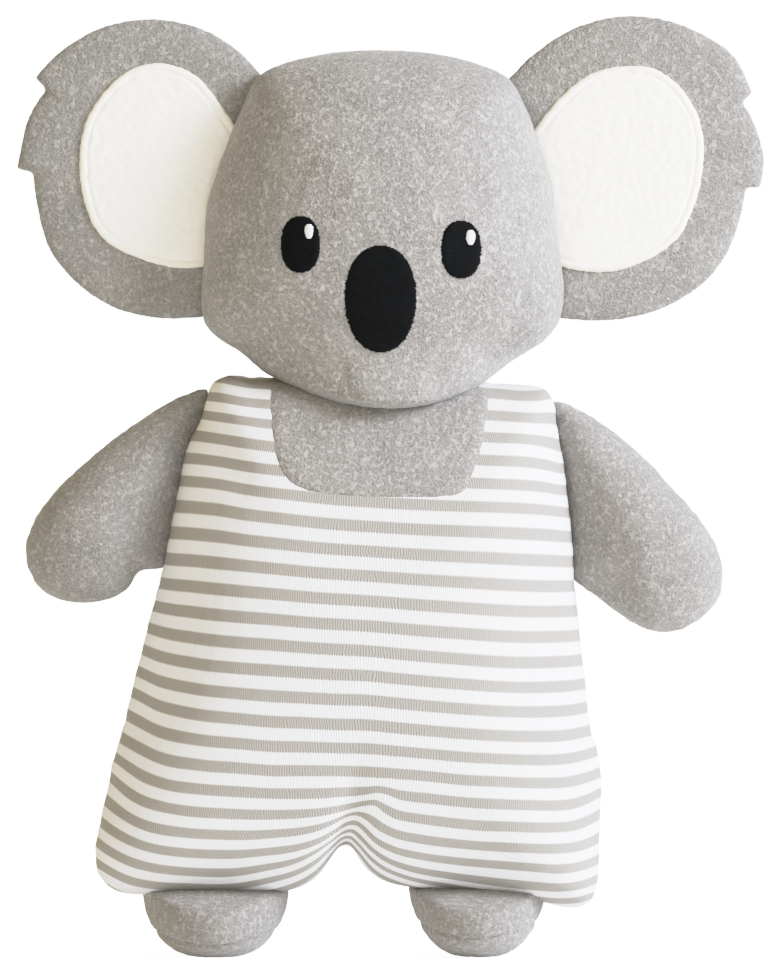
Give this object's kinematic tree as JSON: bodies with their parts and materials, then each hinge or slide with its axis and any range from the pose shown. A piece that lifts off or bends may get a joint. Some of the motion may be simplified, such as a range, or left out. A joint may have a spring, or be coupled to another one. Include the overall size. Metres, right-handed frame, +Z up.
{
  "type": "plush koala",
  "caption": "Stuffed grey fleece koala with round white-lined ears, an embroidered face, a striped jersey romper, soft arms and flat-soled feet.",
  "frame": {"origin": "middle of the toy's outline at the level of its soles", "axes": "+Z up from the soles to the ears, the face looks along -Y, +X is to the right of a viewer who faces the toy"},
  "size_m": [0.2602, 0.0876, 0.3284],
  "materials": {
    "head_fleece": "short-pile grey fleece",
    "ear_fleece": "short-pile grey fleece",
    "lining_fleece": "brushed white fleece",
    "chest_fleece": "short-pile grey fleece",
    "limb_fleece": "short-pile grey fleece",
    "sole_fleece": "short-pile grey fleece",
    "striped_jersey": "grey and white striped cotton jersey",
    "black_thread": "black satin-stitch embroidery",
    "white_thread": "white satin-stitch embroidery",
    "wadding": "polyester fibre filling"
  },
  "bodies": {
    "torso": {"romper_front": "striped_jersey", "romper_back": "striped_jersey", "chest_panel": "chest_fleece", "back_yoke": "chest_fleece", "body_filling": "wadding"},
    "head": {"head_face_panel": "head_fleece", "head_back_panel": "head_fleece", "head_filling": "wadding", "nose": "black_thread", "eye_left": "black_thread", "eye_right": "black_thread", "eye_glint_left": "white_thread", "eye_glint_right": "white_thread"},
    "ear_left": {"ear_front_left": "ear_fleece", "ear_back_left": "ear_fleece", "ear_wadding_left": "wadding", "ear_lining_left": "lining_fleece"},
    "ear_right": {"ear_front_right": "ear_fleece", "ear_back_right": "ear_fleece", "ear_wadding_right": "wadding", "ear_lining_right": "lining_fleece"},
    "arm_left": {"arm_front_left": "limb_fleece", "arm_back_left": "limb_fleece", "arm_filling_left": "wadding"},
    "arm_right": {"arm_front_right": "limb_fleece", "arm_back_right": "limb_fleece", "arm_filling_right": "wadding"},
    "foot_left": {"foot_upper_left": "limb_fleece", "foot_sole_left": "sole_fleece", "foot_filling_left": "wadding"},
    "foot_right": {"foot_upper_right": "limb_fleece", "foot_sole_right": "sole_fleece", "foot_filling_right": "wadding"}
  },
  "joints": [
    {"name": "head_nod", "type": "hinge", "parent": "torso", "child": "head", "pos_m": [-0.00373, 0.00178, 0.2038], "axis": [1, 0, 0], "range_deg": [-10, 10], "stiffness_Nm_per_rad": 0.3},
    {"name": "ear_fold_left", "type": "hinge", "parent": "head", "child": "ear_left", "pos_m": [-0.06184, 0.00178, 0.26694], "axis": [0.2524, 0, 0.9676], "range_deg": [-45, 45], "stiffness_Nm_per_rad": 0.02},
    {"name": "ear_fold_right", "type": "hinge", "parent": "head", "child": "ear_right", "pos_m": [0.05706, 0.00178, 0.26361], "axis": [-0.198, 0, 0.9802], "range_deg": [-45, 45], "stiffness_Nm_per_rad": 0.02},
    {"name": "arm_swing_left", "type": "hinge", "parent": "torso", "child": "arm_left", "pos_m": [-0.07367, 0.00178, 0.1673], "axis": [0.2746, 0, 0.9616], "range_deg": [-45, 45], "stiffness_Nm_per_rad": 0.03},
    {"name": "arm_swing_right", "type": "hinge", "parent": "torso", "child": "arm_right", "pos_m": [0.0611, 0.00178, 0.1628], "axis": [-0.1519, 0, 0.9884], "range_deg": [-45, 45], "stiffness_Nm_per_rad": 0.03},
    {"name": "foot_tilt_left", "type": "hinge", "parent": "torso", "child": "foot_left", "pos_m": [-0.06171, 0.00178, 0.025], "axis": [1, 0, 0], "range_deg": [-10, 10], "stiffness_Nm_per_rad": 0.6},
    {"name": "foot_tilt_right", "type": "hinge", "parent": "torso", "child": "foot_right", "pos_m": [0.0299, 0.00178, 0.025], "axis": [1, 0, 0], "range_deg": [-10, 10], "stiffness_Nm_per_rad": 0.6}
  ]
}
